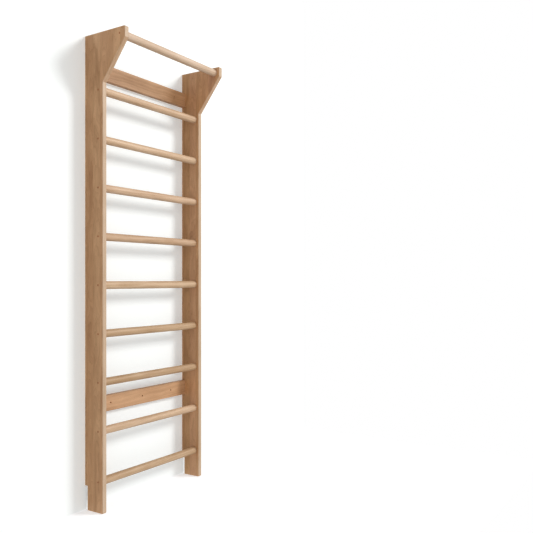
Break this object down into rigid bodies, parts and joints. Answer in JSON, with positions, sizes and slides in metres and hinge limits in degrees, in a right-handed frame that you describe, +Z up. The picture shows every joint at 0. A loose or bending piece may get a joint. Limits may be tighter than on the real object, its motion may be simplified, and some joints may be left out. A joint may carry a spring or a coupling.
{
  "type": "wall bars",
  "caption": "Wooden swedish wall bars: round rungs and a pull-up bar between two uprights with flared heads, and flat back rails that screw to a wall.",
  "frame": {"origin": "on the floor, under the middle of the overall box", "axes": "+Z up, +X to the right seen from the front, +Y towards the wall, so the front faces -Y"},
  "size_m": [0.73, 0.272, 2.3],
  "materials": {
    "upright_beech": "edge-glued beech, sanded and oiled",
    "rung_beech": "turned beech, sanded and oiled",
    "rail_beech": "planed beech, sanded and oiled",
    "dowel_beech": "plain beech dowel",
    "screw_steel": "bronzed steel"
  },
  "bodies": {
    "root": {"left_upright": "upright_beech", "right_upright": "upright_beech", "rung_1": "rung_beech", "rung_2": "rung_beech", "rung_3": "rung_beech", "rung_4": "rung_beech", "rung_5": "rung_beech", "rung_6": "rung_beech", "rung_7": "rung_beech", "rung_8": "rung_beech", "rung_9": "rung_beech", "pull_up_bar": "rung_beech", "lower_back_rail": "rail_beech", "upper_back_rail": "rail_beech", "rung_1_left_screw": "screw_steel", "rung_1_right_screw": "screw_steel", "rung_2_left_screw": "screw_steel", "rung_2_right_screw": "screw_steel", "rung_3_left_screw": "screw_steel", "rung_3_right_screw": "screw_steel", "rung_4_left_screw": "screw_steel", "rung_4_right_screw": "screw_steel", "rung_5_left_screw": "screw_steel", "rung_5_right_screw": "screw_steel", "rung_6_left_screw": "screw_steel", "rung_6_right_screw": "screw_steel", "rung_7_left_screw": "screw_steel", "rung_7_right_screw": "screw_steel", "rung_8_left_screw": "screw_steel", "rung_8_right_screw": "screw_steel", "rung_9_left_screw": "screw_steel", "rung_9_right_screw": "screw_steel", "pull_up_bar_left_screw": "screw_steel", "pull_up_bar_right_screw": "screw_steel", "lower_back_rail_left_lower_dowel": "dowel_beech", "lower_back_rail_left_upper_dowel": "dowel_beech", "lower_back_rail_right_lower_dowel": "dowel_beech", "lower_back_rail_right_upper_dowel": "dowel_beech", "upper_back_rail_left_lower_dowel": "dowel_beech", "upper_back_rail_left_upper_dowel": "dowel_beech", "upper_back_rail_right_lower_dowel": "dowel_beech", "upper_back_rail_right_upper_dowel": "dowel_beech"}
  },
  "joints": []
}
